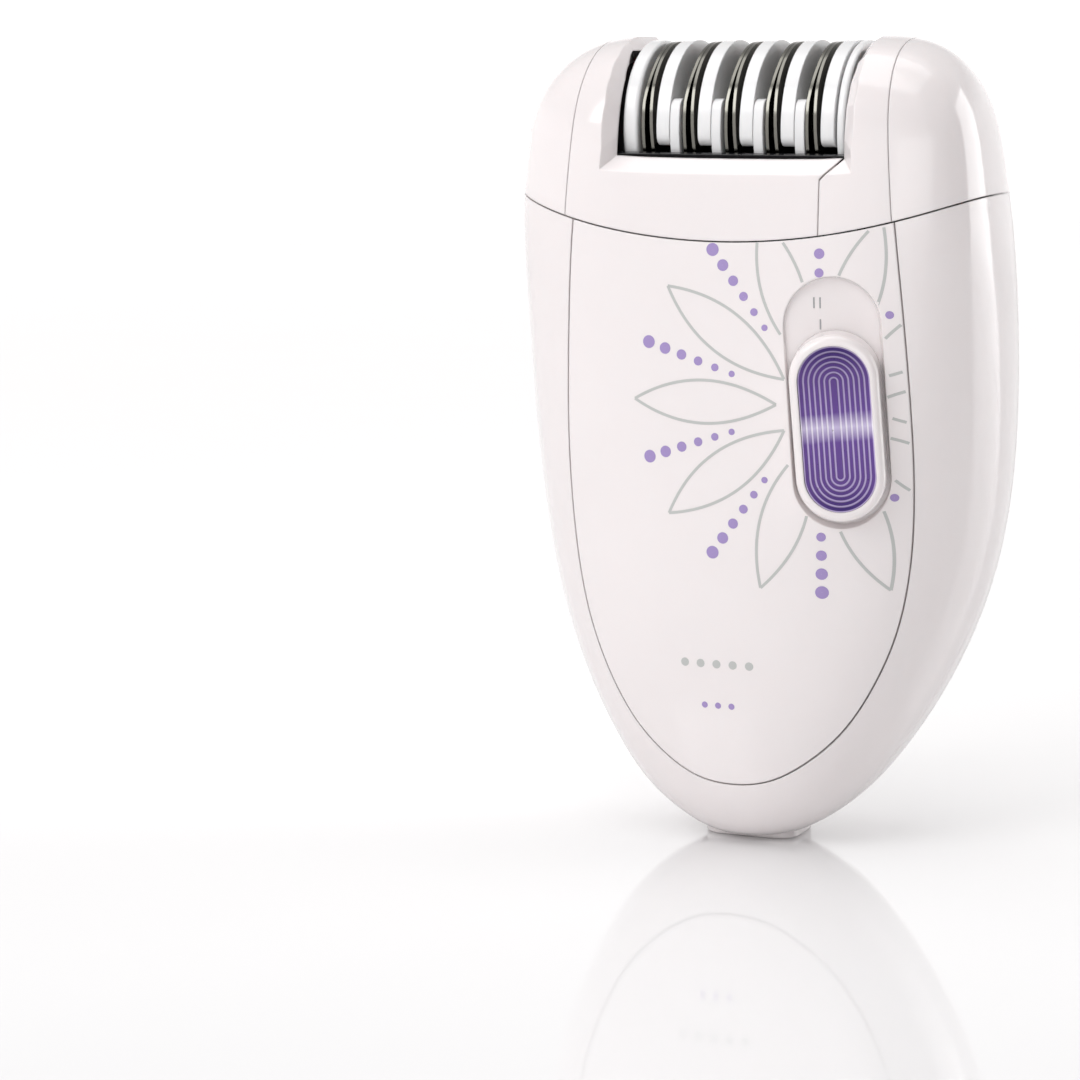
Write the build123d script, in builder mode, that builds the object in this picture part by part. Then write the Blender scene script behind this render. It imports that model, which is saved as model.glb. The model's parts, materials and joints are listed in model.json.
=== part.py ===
"""Palm-held corded epilator: body, lift-off epilating head and its drive train.

Frame: +Z up, the front (panel and switch) faces -Y, +X is to the viewer's right.
The origin is the centre of the flat foot around the power inlet. Millimetres.
"""
from build123d import *
from math import acos, atan2, cos, degrees, hypot, pi, radians, sin, sqrt
import os

# ---- outside form -------------------------------------------------------------------
# height, half width, y of the widest line, front y, back y, front squareness
STATIONS = [
    (0.8, 6.5, -1.5, -7.5, 4.5, 2.0),
    (2.2, 9.6, -1.5, -9.7, 6.7, 2.05),
    (4.0, 12.4, -1.2, -11.3, 9.0, 2.1),
    (7.0, 16.0, -0.5, -13.0, 11.8, 2.2),
    (13.0, 21.0, 1.0, -14.7, 15.2, 2.25),
    (22.0, 26.4, 3.3, -16.1, 18.4, 2.3),
    (33.0, 31.0, 5.3, -17.0, 20.6, 2.3),
    (46.0, 34.0, 6.6, -17.6, 21.8, 2.35),
    (60.0, 35.2, 6.6, -18.0, 22.0, 2.6),
    (75.0, 35.3, 5.4, -18.2, 21.2, 3.0),
    (88.0, 34.8, 3.6, -18.1, 19.2, 3.6),
    (98.0, 33.8, 2.0, -17.4, 16.8, 3.9),
    (104.5, 32.4, 1.2, -16.2, 14.4, 3.9),
    (108.4, 30.4, 1.0, -14.5, 12.2, 3.6),
    (111.2, 27.8, 1.0, -12.1, 9.9, 3.3),
    (113.0, 24.8, 1.0, -9.2, 7.4, 3.0),
    (114.0, 21.0, 0.8, -5.4, 4.4, 2.8),
]
BACK_SQUARENESS = 2.3
OUTLINE_POINTS = 20
WALL = 2.2
CAVITY_FIRST_STATION = 2
HEAD_ROOF = 112.0

SEAM_BOTTOM = 86.1
SEAM_RADIUS = 95.0
SEAM_GAP = 0.2
SEAM_CENTRE = SEAM_BOTTOM + SEAM_RADIUS
PARTING_ARC = [(-2.0, -2.0), (8.0, 50.0), (3.5, 95.0)]
PARTING_GAP = 0.2
REACH = 45.0

# ---- front panel --------------------------------------------------------------------
PANEL_EDGE = [(5.2, 10.3), (10.0, 12.9), (15.0, 17.4), (19.2, 23.8), (22.5, 31.7), (24.3, 40.0),
              (25.1, 49.0), (25.2, 58.0), (24.8, 68.0), (24.1, 79.0), (23.0, 91.5)]
PANEL_FOOT = 9.5
PANEL_SHIFT = 0.9
PANEL_DEPTH = 1.0
PANEL_GROOVE = 0.2
PANEL_BACK_Y = -4.0

# ---- switch -------------------------------------------------------------------------
SWITCH_X = 16.8
SWITCH_Y = -16.65
SWITCH_Z = 61.2
SWITCH_TURN = 14.0
SWITCH_LEAN = 3.6
SWITCH_TILT = 4.6
SWITCH_BODY_BACK = 6.4
RECESS_DEPTH = 1.9
RECESS_LENGTH = 34.2
RECESS_WIDTH = 13.0
RECESS_SHIFT = 3.2
RECESS_DRAFT = 12.0
TUB_WALL = 1.2
BUTTON_LENGTH = 26.2
BUTTON_WIDTH = 12.6
BUTTON_HEIGHT = 4.2
BUTTON_DRAFT = 3.0
BUTTON_LIFT = 0.15
INSERT_LENGTH = 23.0
INSERT_WIDTH = 9.9
INSERT_DEPTH = 1.4
INSERT_HOLLOW = 0.6
INSERT_HOLLOW_RADIUS = 112.0
RIDGES = 6
RIDGE_PITCH = 0.72
RIDGE_WIDTH = 0.3
RIDGE_DEPTH = 0.22
SWITCH_TRAVEL = 6.8
STEM_WIDTH = 2.0
STEM_LENGTH = 4.4
STEM_DEPTH = 5.0
STEM_PLAY = 0.4

# ---- foot and inlet -----------------------------------------------------------------
FOOT_X = 14.0
FOOT_Y = 11.0
FOOT_HEIGHT = 2.4
SOCKET_X = 11.6
SOCKET_Y = 8.6
SOCKET_TOP = 14.0
PLUG_HOLE_X = 9.0
PLUG_HOLE_Y = 6.0
PLUG_HOLE_DEPTH = 10.5
PIN_PITCH = 4.0
PIN_RADIUS = 0.8
PIN_TIP = 4.7
PIN_TAIL = 16.5

# ---- epilating cylinder -------------------------------------------------------------
ROTOR_Y = -1.5
ROTOR_Z = 101.5
ROTOR_RADIUS = 12.0
CORE_RADIUS = 7.0
DISC_RADIUS = 11.8
DISC_THICKNESS = 0.45
RIB_STARTS = [-11.3, -5.2, 0.95, 6.95, 12.7]
UPPER_RIB_WIDTH = 1.9
LOWER_RIB_OFFSET = 2.0
LOWER_RIB_WIDTH = 1.35
UPPER_RIB_SECTOR = (-36.0, 194.0)
LOWER_RIB_SECTOR = (158.0, 382.0)
RIB_CORNER = 1.6
# left face of each sheet-metal disc before its rib, by height above the axis
LEFT_DISC_BEND = [(-12.5, -2.1), (3.5, -2.35), (8.5, -1.95), (12.5, -1.9)]
RIGHT_DISC_BEND = [(-12.5, -0.5), (6.0, -1.35), (12.5, -1.4)]
LEFT_FLANGE = (-16.4, -14.2)
RIGHT_FLANGE = (14.9, 16.2)
ROTOR_SHAFT = (-19.6, 21.8)
ROTOR_SHAFT_RADIUS = 1.5
TRAY_INNER = 12.6
TRAY_OUTER = 13.4

# ---- head shell ---------------------------------------------------------------------
COVER_HALF_WIDTH_LOW = (25.26, 70.0)
COVER_HALF_WIDTH_HIGH = (21.56, 120.0)
CAP_GAP = 0.09
CAP_WEB = 1.2
WINDOW_HALF_WIDTH = 16.6
WINDOW_SILL = 97.6
WINDOW_BACK = 7.5
WINDOW_FLARE = 2.6
WINDOW_FACE_Y = -18.2
WINDOW_THROAT_Y = -15.0
SILL_FLARE = 2.8
WINDOW_BEVEL_ANGLE = 45.0
# inner line of the bevel beside the window, (y, z), two millimetres inside the surface
WINDOW_BEVEL = [(-15.3, 97.2), (-13.9, 104.2), (-12.2, 107.4), (-9.8, 109.9),
                (-6.8, 111.5), (-3.0, 112.2), (3.0, 112.2), (7.8, 109.9)]
MITRE_GROOVE_X = 13.9
MITRE_GROOVE_WIDTH = 0.14
COVER_BOSSES = [(-13.0, 13.0), (13.0, 13.0), (-13.0, -13.3), (13.0, -13.3)]
COVER_BOSS_RADIUS = 2.1
COVER_BOSS_TOP = 91.5
HEAD_SCREW = (1.8, 0.9, 4.8)

# ---- gear train ---------------------------------------------------------------------
GEAR_MODULE = 0.6
ROTOR_TEETH = 30
IDLER_TEETH = 16
DRIVE_TEETH = 14
GEAR_ADDENDUM = 0.45
GEAR_DEDENDUM = 0.62
GEAR_ROOT_WIDTH = 1.05
GEAR_TIP_WIDTH = 0.42
GEAR_X = (18.3, 20.7)
CROWN_MODULE = 0.42
CROWN_TEETH = 20
MOTOR_TEETH = 10
CROWN_FACE_X = 2.75
CROWN_TIP_X = 1.95
CROWN_BACK_X = 4.1
CROWN_TOOTH_WIDTH = 0.44
CROWN_TOOTH_INNER = 3.8
CROWN_TOOTH_OUTER = 4.7
CROSS_SHAFT_Z = 82.0
CROSS_SHAFT = (-7.6, 21.9)
CROSS_SHAFT_RADIUS = 1.0
PINION_Z = (77.1, 78.5)
RUNNING_CLEARANCE = 0.05

# ---- head frame ---------------------------------------------------------------------
BASE_Z = (86.0, 87.6)
LEFT_WALL_X = (-19.0, -17.4)
INNER_WALL_X = (17.2, 18.0)
OUTER_WALL_X = (21.0, 22.0)
TAB_BOTTOM = 79.0
PEG_X = -14.0
BUSH_RADIUS = 2.6
IDLER_AXLE_RADIUS = 1.0

# ---- body interior ------------------------------------------------------------------
DECK_Z = (81.3, 83.3)
WELL_X = (-9.2, 23.4)
WELL_HALF_Y = 6.5
WELL_FLOOR = (75.2, 76.4)
WELL_WALL = 1.2
WELL_DEPTH = 5.2
FRONT_DECK_SCREW = (28.0, -7.4, 82.1)
REAR_DECK_SCREW = (21.0, 12.6, 82.1)
DECK_SCREW_RADIUS = 1.1
DECK_POST_BOTTOM = 64.0
DECK_BORE_BOTTOM = 68.0
DECK_BOSS_RADIUS = 2.8
DECK_SEAT = 2.2
DECK_SCREW_HEAD_RADIUS = 2.2
DECK_SCREW_LENGTH = 8.0
SEAL_RADIUS = 3.0
MOTOR_RADIUS = 12.0
MOTOR_Z = (42.0, 74.0)
MOTOR_SHAFT_RADIUS = 1.0
MOTOR_WALL = 0.8
MOTOR_CAP_HEIGHT = 3.0
MAGNET_INNER = 9.3
MAGNET_GAP = 6.0
ARMATURE_RADIUS = 8.9
ARMATURE_SLOTS = 5
COMMUTATOR_RADIUS = 3.5
TERMINAL_X = (-7.0, 7.0)
TERMINAL_LENGTH = 3.4
MOTOR_RING_Z = [47.0, 69.0]
MOTOR_RING_OUTER = 13.0
RELEASE_Z = 76.8
RELEASE_WIDTH = 15.6
RELEASE_HEIGHT = 7.4
RELEASE_OUT_Y = 21.7
RELEASE_IN_Y = 17.2
RELEASE_RIB_PITCH = 2.2
RELEASE_RIB = (0.8, 0.7, 4.2)
SPRING_RADIUS = 1.5
SPRING_PITCH = 1.35
SPRING_WIRE_RADIUS = 0.25
LEG_Y = (11.0, 12.4)
LEG_BOTTOM = 79.1
BOARD_Y = 3.2
BOARD_THICKNESS = 1.2
BOARD_SIZE = (32.0, 20.0)
BOARD_CENTRE_Z = 28.0
BOARD_SCREWS = [(-12.0, 34.0), (12.0, 34.0)]
BOARD_SCREW_RADIUS = 0.85
BOARD_SCREW_HEAD_RADIUS = 1.7
BOARD_SCREW_HEAD = 0.9
BOARD_POST_RADIUS = 2.0
BOARD_POST_LENGTH = 13.5
COIL_X = (-9.0, -1.5)
COIL_CORE = (1.3, 21.0, 32.0)
COIL_WINDING = (3.2, 22.0, 31.0)
CAPACITOR_X = 8.0
CAPACITOR = (3.6, 20.0, 31.0)
LEAD_RADIUS = 0.6
SWITCH_BODY_SIZE = (8.0, 20.0)
SWITCH_BOARD_SIZE = (11.0, 25.0)
SWITCH_BOARD_SHIFT = (2.4, -0.8)
SWITCH_BOARD_HOLES = (8.4, 22.0)


# ---- shared shapes ------------------------------------------------------------------
def envelope(inset, first=0):
    """Outside form of the whole epilator, moved inwards by inset."""
    with BuildPart() as form:
        for height, half_width, widest_y, front_y, back_y, squareness in STATIONS[first:]:
            points = []
            for step in range(OUTLINE_POINTS):
                turn = 2 * pi * step / OUTLINE_POINTS + pi / 2
                c = cos(turn)
                s = sin(turn)
                power = squareness if s < 0 else BACK_SQUARENESS
                radius = (abs(c) ** power + abs(s) ** power) ** (-1 / power)
                depth = widest_y - front_y if s < 0 else back_y - widest_y
                x = (half_width - inset) * radius * c
                y = widest_y + (depth - inset) * radius * s
                points.append((x, y))
            with BuildSketch(Plane.XY.offset(height)):
                with BuildLine():
                    Spline(*points, periodic=True)
                make_face()
        loft()
    return form.part


def seam_drum(radius):
    """Drum along Y around the head; its underside is the joint line with the body."""
    with BuildPart() as drum:
        with BuildSketch(Plane.XZ):
            with Locations((0, SEAM_CENTRE)):
                Circle(radius)
        extrude(amount=REACH, both=True)
    return drum.part


def front_side(shift):
    """Everything in front of the curved parting line, moved back by shift."""
    arc = [(y + shift, z) for y, z in PARTING_ARC]
    with BuildPart() as side:
        with BuildSketch(Plane.YZ):
            with BuildLine():
                ThreePointArc(*arc)
                Polyline(arc[2], (-REACH, arc[2][1]), (-REACH, arc[0][1]), arc[0])
            make_face()
        extrude(amount=REACH, both=True)
    return side.part


def panel_prism(margin):
    """Front panel outline pushed through the front of the body."""
    left = [(PANEL_SHIFT - x, z) for x, z in reversed(PANEL_EDGE)]
    right = [(PANEL_SHIFT + x, z) for x, z in PANEL_EDGE]
    edge = left + [(PANEL_SHIFT, PANEL_FOOT)] + right
    widened = []
    for index, (x, z) in enumerate(edge):
        x_before, z_before = edge[max(index - 1, 0)]
        x_after, z_after = edge[min(index + 1, len(edge) - 1)]
        run = hypot(x_after - x_before, z_after - z_before)
        out_x = margin * (z_after - z_before) / run
        out_z = margin * (x_before - x_after) / run
        widened.append((x + out_x, z + out_z))
    with BuildPart() as prism:
        with BuildSketch(Plane.XZ.offset(-PANEL_BACK_Y)):
            with BuildLine():
                Spline(*widened)
                Line(widened[-1], widened[0])
            make_face()
        extrude(amount=REACH)
    return prism.part


def bar_x(centre_y, centre_z, radius, span):
    """Round bar along X between the two ends of span."""
    with BuildPart() as bar:
        with BuildSketch(Plane.YZ.offset(span[0])):
            with Locations((centre_y, centre_z)):
                Circle(radius)
        extrude(amount=span[1] - span[0])
    return bar.part


def block(x, y, z):
    """Box from low and high limits along each axis."""
    with BuildPart() as solid:
        with Locations(((x[0] + x[1]) / 2, (y[0] + y[1]) / 2, (z[0] + z[1]) / 2)):
            Box(x[1] - x[0], y[1] - y[0], z[1] - z[0])
    return solid.part


def post(x, y, radius, z):
    """Upright round post between the two heights of z."""
    with BuildPart() as solid:
        with Locations((x, y, z[0])):
            Cylinder(radius, z[1] - z[0], align=(Align.CENTER, Align.CENTER, Align.MIN))
    return solid.part


def racetrack(length, width, low, high, draft=0.0, shift=0.0):
    """Racetrack prism standing on the switch floor, long axis up the body."""
    with BuildPart() as solid:
        with BuildSketch(SWITCH_FLOOR.offset(low)):
            with Locations((0, shift)):
                SlotOverall(length, width, rotation=90)
        extrude(amount=high - low, taper=-draft)
    return solid.part


def gear_outline(teeth, pitch_radius, phase, addendum, dedendum, root_width, tip_width):
    """Straight-flanked gear outline with one tooth at the phase angle."""
    root = pitch_radius - dedendum
    tip = pitch_radius + addendum
    seat = sqrt(root ** 2 - (root_width / 2) ** 2) - 0.05
    with BuildSketch() as outline:
        Circle(root)
        with PolarLocations(0, teeth, start_angle=phase):
            Polygon((seat, -root_width / 2), (tip, -tip_width / 2),
                    (tip, tip_width / 2), (seat, root_width / 2), align=None)
    return outline.sketch


def spur_gear(teeth, centre, phase, bore, span):
    """Spur gear along X with its bore, centred on (y, z)."""
    profile = gear_outline(teeth, GEAR_MODULE * teeth / 2, phase, GEAR_ADDENDUM,
                           GEAR_DEDENDUM, GEAR_ROOT_WIDTH, GEAR_TIP_WIDTH)
    with BuildPart() as gear:
        with BuildSketch(Plane.YZ.offset(span[0])):
            with Locations(centre):
                add(profile)
                Circle(bore, mode=Mode.SUBTRACT)
        extrude(amount=span[1] - span[0])
    return gear.part


def meshed_phase(phase, teeth, direction, other_teeth):
    """Tooth angle of a gear that lies in the given direction from a meshing gear."""
    return direction + 180 - (phase - direction) * teeth / other_teeth + 180 / other_teeth


def rib_prism(sector, start, width):
    """Flat rib covering one sector of the cylinder, with rounded outer corners."""
    centre = (ROTOR_Y, ROTOR_Z)
    open_from = sector[1]
    open_size = 360 - (sector[1] - sector[0])
    far = 3 * ROTOR_RADIUS
    fan = [(0, 0)]
    for step in range(5):
        angle = radians(open_from + open_size * step / 4)
        fan.append((far * cos(angle), far * sin(angle)))
    with BuildPart() as rib:
        with BuildSketch(Plane.YZ.offset(start)):
            with Locations(centre):
                Circle(ROTOR_RADIUS)
                Polygon(*fan, align=None, mode=Mode.SUBTRACT)
                Circle(CORE_RADIUS, mode=Mode.SUBTRACT)
        extrude(amount=width)
        corners = []
        for edge in rib.edges().filter_by(Axis.X):
            middle = edge.center()
            if hypot(middle.Y - ROTOR_Y, middle.Z - ROTOR_Z) > ROTOR_RADIUS - 0.1:
                corners.append(edge)
        fillet(corners, RIB_CORNER)
    return rib.part


def bent_disc(bend, rib_start):
    """Bent spring-steel sheet cut to the round outline of the cylinder."""
    left = [(rib_start + x, ROTOR_Z + z) for z, x in bend]
    right = [(x + DISC_THICKNESS, z) for x, z in reversed(left)]
    with BuildPart() as sheet:
        with BuildSketch(Plane.XZ.offset(-ROTOR_Y)):
            Polygon(*left, *right, align=None)
        extrude(amount=2 * ROTOR_RADIUS, both=True)
        add(bar_x(ROTOR_Y, ROTOR_Z, DISC_RADIUS, (rib_start - 4, rib_start + 2)),
            mode=Mode.INTERSECT)
        add(bar_x(ROTOR_Y, ROTOR_Z, CORE_RADIUS, (rib_start - 4, rib_start + 2)),
            mode=Mode.SUBTRACT)
    return sheet.part


def cover_wedge(margin):
    """Slightly tapered middle slice of the head, widened by margin."""
    low_x, low_z = COVER_HALF_WIDTH_LOW
    high_x, high_z = COVER_HALF_WIDTH_HIGH
    with BuildPart() as wedge:
        with BuildSketch(Plane.XZ):
            Polygon((-low_x - margin, low_z), (low_x + margin, low_z),
                    (high_x + margin, high_z), (-high_x - margin, high_z), align=None)
        extrude(amount=REACH, both=True)
    return wedge.part


def frame_wall(span, top_radius, bottom):
    """Upright bearing wall of the head frame."""
    with BuildPart() as wall:
        with BuildSketch(Plane.YZ.offset(span[0])):
            with Locations((ROTOR_Y, ROTOR_Z)):
                Circle(top_radius)
            Polygon((-11, BASE_Z[0]), (11, BASE_Z[0]),
                    (ROTOR_Y + top_radius, ROTOR_Z), (ROTOR_Y - top_radius, ROTOR_Z), align=None)
            if bottom < BASE_Z[0]:
                with Locations((0, (bottom + BASE_Z[1]) / 2)):
                    Rectangle(7, BASE_Z[1] - bottom)
        extrude(amount=span[1] - span[0])
    return wall.part


def lead(points, radius):
    """Insulated wire along a smooth path."""
    with BuildPart() as wire:
        with BuildLine() as path:
            Spline(*points)
        with BuildSketch(Plane(path.line @ 0, z_dir=path.line % 0)):
            Circle(radius)
        sweep()
    return wire.part


def pan_screw(x, y, seat, head_radius, shank_radius, length, up=True):
    """Pan-head screw with a slot, head above the seat when up, below it when not."""
    sign = 1 if up else -1
    head = (seat, seat + 1.2) if up else (seat - 1.2, seat)
    shank = (seat - length, seat) if up else (seat, seat + length)
    with BuildPart() as screw:
        add(post(x, y, head_radius, head))
        add(post(x, y, shank_radius, shank))
        with Locations((x, y, seat + sign * 1.2)):
            Box(2 * head_radius, 0.5, 0.8, mode=Mode.SUBTRACT)
            Box(0.5, 2 * head_radius, 0.8, mode=Mode.SUBTRACT)
    return screw.part


# ---- switch placement ---------------------------------------------------------------
turn = radians(SWITCH_TURN)
lean = radians(SWITCH_LEAN)
tilt = radians(SWITCH_TILT)
SWITCH_NORMAL = Vector(sin(turn) * cos(lean), -cos(turn) * cos(lean), -sin(lean))
SWITCH_SIDE = Vector(cos(turn), sin(turn), 0)
SWITCH_UP = SWITCH_NORMAL.cross(SWITCH_SIDE)
SWITCH_FLOOR = Plane(
    origin=Vector(SWITCH_X, SWITCH_Y, SWITCH_Z) - SWITCH_NORMAL * RECESS_DEPTH,
    x_dir=SWITCH_SIDE * cos(tilt) + SWITCH_UP * sin(tilt),
    z_dir=SWITCH_NORMAL,
)

# ---- gear placement -----------------------------------------------------------------
drive_centre = (0.0, CROSS_SHAFT_Z)
rotor_centre = (ROTOR_Y, ROTOR_Z)
to_idler = GEAR_MODULE * (DRIVE_TEETH + IDLER_TEETH) / 2
idler_to_rotor = GEAR_MODULE * (IDLER_TEETH + ROTOR_TEETH) / 2
to_rotor = hypot(ROTOR_Y, ROTOR_Z - CROSS_SHAFT_Z)
rotor_direction = atan2(ROTOR_Z - CROSS_SHAFT_Z, ROTOR_Y)
idler_swing = acos((to_idler ** 2 + to_rotor ** 2 - idler_to_rotor ** 2) / (2 * to_idler * to_rotor))
idler_direction = rotor_direction - idler_swing
idler_centre = (to_idler * cos(idler_direction), CROSS_SHAFT_Z + to_idler * sin(idler_direction))
up_direction = degrees(atan2(ROTOR_Z - idler_centre[1], ROTOR_Y - idler_centre[0]))
DRIVE_PHASE = 0.0
idler_phase = meshed_phase(DRIVE_PHASE, DRIVE_TEETH, degrees(idler_direction), IDLER_TEETH)
rotor_phase = meshed_phase(idler_phase, IDLER_TEETH, up_direction, ROTOR_TEETH)

# ---- shared solids ------------------------------------------------------------------
outer = envelope(0)
cavity_form = envelope(WALL, CAVITY_FIRST_STATION)
deck_limit = envelope(WALL + 0.1, CAVITY_FIRST_STATION)
panel_back = envelope(PANEL_DEPTH)
panel_seat = envelope(PANEL_DEPTH + 0.05)
above_body = seam_drum(SEAM_RADIUS + SEAM_GAP / 2)
head_drum = seam_drum(SEAM_RADIUS - SEAM_GAP / 2)
recess = racetrack(RECESS_LENGTH, RECESS_WIDTH, 0, 6, RECESS_DRAFT, RECESS_SHIFT)
tub_room = racetrack(RECESS_LENGTH + 2 * TUB_WALL + 0.2, RECESS_WIDTH + 2 * TUB_WALL + 0.2,
                     -TUB_WALL - 0.1, 8, 0, RECESS_SHIFT)
stem_run = STEM_LENGTH + SWITCH_TRAVEL + 2 * STEM_PLAY
stem_slot = racetrack(stem_run + STEM_PLAY, STEM_WIDTH + 2 * STEM_PLAY, -6.0, 1.0, 0, SWITCH_TRAVEL / 2)
deck_screws_at = []
for side in (-1, 1):
    for x, y, seat in (FRONT_DECK_SCREW, REAR_DECK_SCREW):
        deck_screws_at.append((side * x, y, seat))

with BuildPart() as cavity:
    add(cavity_form)
    for ring_z in MOTOR_RING_Z:
        with Locations((0, 0, ring_z)):
            Box(16, 60, 2, mode=Mode.SUBTRACT)
            Box(80, 9, 2, mode=Mode.SUBTRACT)
            Cylinder(MOTOR_RING_OUTER, 2)

with BuildPart() as inlet_hole:
    with Locations((0, 0, 0)):
        Box(SOCKET_X + 0.2, SOCKET_Y + 0.2, 20)
        Box(FOOT_X + 0.2, FOOT_Y + 0.2, 2 * FOOT_HEIGHT + 0.1)

# ---- body shell ---------------------------------------------------------------------
with BuildPart() as panel_pocket:
    add(panel_prism(PANEL_GROOVE))
    add(panel_seat, mode=Mode.SUBTRACT)

with BuildPart() as front_housing:
    add(outer)
    add(above_body, mode=Mode.SUBTRACT)
    add(front_side(-PARTING_GAP / 2), mode=Mode.INTERSECT)
    add(cavity.part, mode=Mode.SUBTRACT)
    for x, y, seat in deck_screws_at:
        if y < 0:
            add(post(x, y, DECK_BOSS_RADIUS, (DECK_POST_BOTTOM, seat - DECK_SEAT)))
            add(post(x, y, DECK_SCREW_RADIUS, (DECK_BORE_BOTTOM, seat)), mode=Mode.SUBTRACT)
    add(panel_pocket.part, mode=Mode.SUBTRACT)
    add(tub_room, mode=Mode.SUBTRACT)
    add(inlet_hole.part, mode=Mode.SUBTRACT)
front_housing.part.label = "front_housing"

with BuildPart() as release_hole:
    with BuildSketch(Plane.XZ.offset(-15)):
        with Locations((0, RELEASE_Z)):
            RectangleRounded(RELEASE_WIDTH + 0.4, RELEASE_HEIGHT + 0.4, 3.4)
    extrude(amount=-12)

with BuildPart() as rear_housing:
    add(outer)
    add(above_body, mode=Mode.SUBTRACT)
    add(front_side(PARTING_GAP / 2), mode=Mode.SUBTRACT)
    add(cavity.part, mode=Mode.SUBTRACT)
    for x, y, seat in deck_screws_at:
        if y > 0:
            add(post(x, y, DECK_BOSS_RADIUS, (DECK_POST_BOTTOM, seat - DECK_SEAT)))
            add(post(x, y, DECK_SCREW_RADIUS, (DECK_BORE_BOTTOM, seat)), mode=Mode.SUBTRACT)
    for hole in BOARD_SCREWS:
        with BuildSketch(Plane.XZ.offset(-BOARD_Y - BOARD_THICKNESS)):
            with Locations(hole):
                Circle(BOARD_POST_RADIUS)
        extrude(amount=-BOARD_POST_LENGTH)
    add(release_hole.part, mode=Mode.SUBTRACT)
    add(inlet_hole.part, mode=Mode.SUBTRACT)
rear_housing.part.label = "rear_housing"

with BuildPart() as panel_block:
    add(panel_prism(0))
    add(outer, mode=Mode.INTERSECT)
    add(above_body, mode=Mode.SUBTRACT)

with BuildPart() as switch_tub:
    add(panel_block.part)
    add(racetrack(RECESS_LENGTH + 2 * TUB_WALL, RECESS_WIDTH + 2 * TUB_WALL,
                  -TUB_WALL, 8, 0, RECESS_SHIFT), mode=Mode.INTERSECT)

with BuildPart() as front_panel:
    add(panel_block.part)
    add(panel_back, mode=Mode.SUBTRACT)
    add(switch_tub.part)
    add(recess, mode=Mode.SUBTRACT)
    add(stem_slot, mode=Mode.SUBTRACT)
front_panel.part.label = "front_panel"

with BuildPart() as deck_pads:
    for x, y, seat in deck_screws_at:
        add(post(x, y, DECK_BOSS_RADIUS - 0.2, (seat - DECK_SEAT, seat)))
    add(deck_limit, mode=Mode.INTERSECT)

with BuildPart() as top_deck:
    add(deck_limit)
    add(block((-REACH, REACH), (-REACH, REACH), DECK_Z), mode=Mode.INTERSECT)
    with Locations(((WELL_X[0] + WELL_X[1]) / 2, 0, WELL_FLOOR[0])):
        Box(WELL_X[1] - WELL_X[0] + 2 * WELL_WALL, 2 * (WELL_HALF_Y + WELL_WALL), WELL_DEPTH,
            align=(Align.CENTER, Align.CENTER, Align.MIN))
    add(deck_pads.part)
    for x, y, seat in deck_screws_at:
        add(post(x, y, DECK_SCREW_HEAD_RADIUS + 0.3, (seat, seat + 4)), mode=Mode.SUBTRACT)
        add(post(x, y, DECK_SCREW_RADIUS + 0.1, (seat - 4, seat + 1)), mode=Mode.SUBTRACT)
    add(block(WELL_X, (-WELL_HALF_Y, WELL_HALF_Y), (WELL_FLOOR[1], 90)), mode=Mode.SUBTRACT)
    add(post(0, 0, SEAL_RADIUS, (70, 80)), mode=Mode.SUBTRACT)
    add(block((-4.6, 4.6), (LEG_Y[0] - 0.5, LEG_Y[1] + 0.5), (78, 90)), mode=Mode.SUBTRACT)
    add(tub_room, mode=Mode.SUBTRACT)
    add(post(PEG_X, 0, 2.4, (70, 90)), mode=Mode.SUBTRACT)
top_deck.part.label = "top_deck"

with BuildPart() as deck_screws:
    for x, y, seat in deck_screws_at:
        add(pan_screw(x, y, seat, DECK_SCREW_HEAD_RADIUS, DECK_SCREW_RADIUS, DECK_SCREW_LENGTH))
deck_screws.part.label = "deck_screws"

# ---- switch -------------------------------------------------------------------------
with BuildPart() as switch_button:
    add(racetrack(BUTTON_LENGTH, BUTTON_WIDTH, BUTTON_LIFT, BUTTON_LIFT + BUTTON_HEIGHT,
                  -BUTTON_DRAFT))
    outwards = Axis(SWITCH_FLOOR.origin, SWITCH_FLOOR.z_dir)
    fillet(switch_button.faces().sort_by(outwards)[-1].edges(), 1.1)
    add(racetrack(INSERT_LENGTH, INSERT_WIDTH, BUTTON_LIFT + BUTTON_HEIGHT - INSERT_DEPTH, 8),
        mode=Mode.SUBTRACT)
switch_button.part.label = "switch_button"

insert_top = BUTTON_LIFT + BUTTON_HEIGHT - 0.1
hollow_plane = Plane(SWITCH_FLOOR.origin, x_dir=SWITCH_FLOOR.y_dir, z_dir=SWITCH_FLOOR.x_dir)
hollow_centre = insert_top - INSERT_HOLLOW + INSERT_HOLLOW_RADIUS

with BuildPart() as insert_ridges:
    for ring in range(RIDGES):
        width = INSERT_WIDTH - 1.3 - 2 * ring * RIDGE_PITCH
        length = INSERT_LENGTH - INSERT_WIDTH + width
        with BuildSketch(SWITCH_FLOOR.offset(insert_top - INSERT_DEPTH + 0.3)):
            SlotOverall(length, width, rotation=90)
            SlotOverall(length - 2 * RIDGE_WIDTH, width - 2 * RIDGE_WIDTH, rotation=90,
                        mode=Mode.SUBTRACT)
        extrude(amount=INSERT_DEPTH)
    with BuildSketch(hollow_plane):
        with Locations((0, hollow_centre - RIDGE_DEPTH)):
            Circle(INSERT_HOLLOW_RADIUS)
    extrude(amount=12, both=True, mode=Mode.INTERSECT)

with BuildPart() as switch_insert:
    add(racetrack(INSERT_LENGTH - 0.1, INSERT_WIDTH - 0.1,
                  insert_top + 0.1 - INSERT_DEPTH, insert_top))
    with BuildSketch(hollow_plane):
        with Locations((0, hollow_centre)):
            Circle(INSERT_HOLLOW_RADIUS)
    extrude(amount=12, both=True, mode=Mode.SUBTRACT)
    add(insert_ridges.part, mode=Mode.SUBTRACT)
switch_insert.part.label = "switch_insert"


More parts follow.
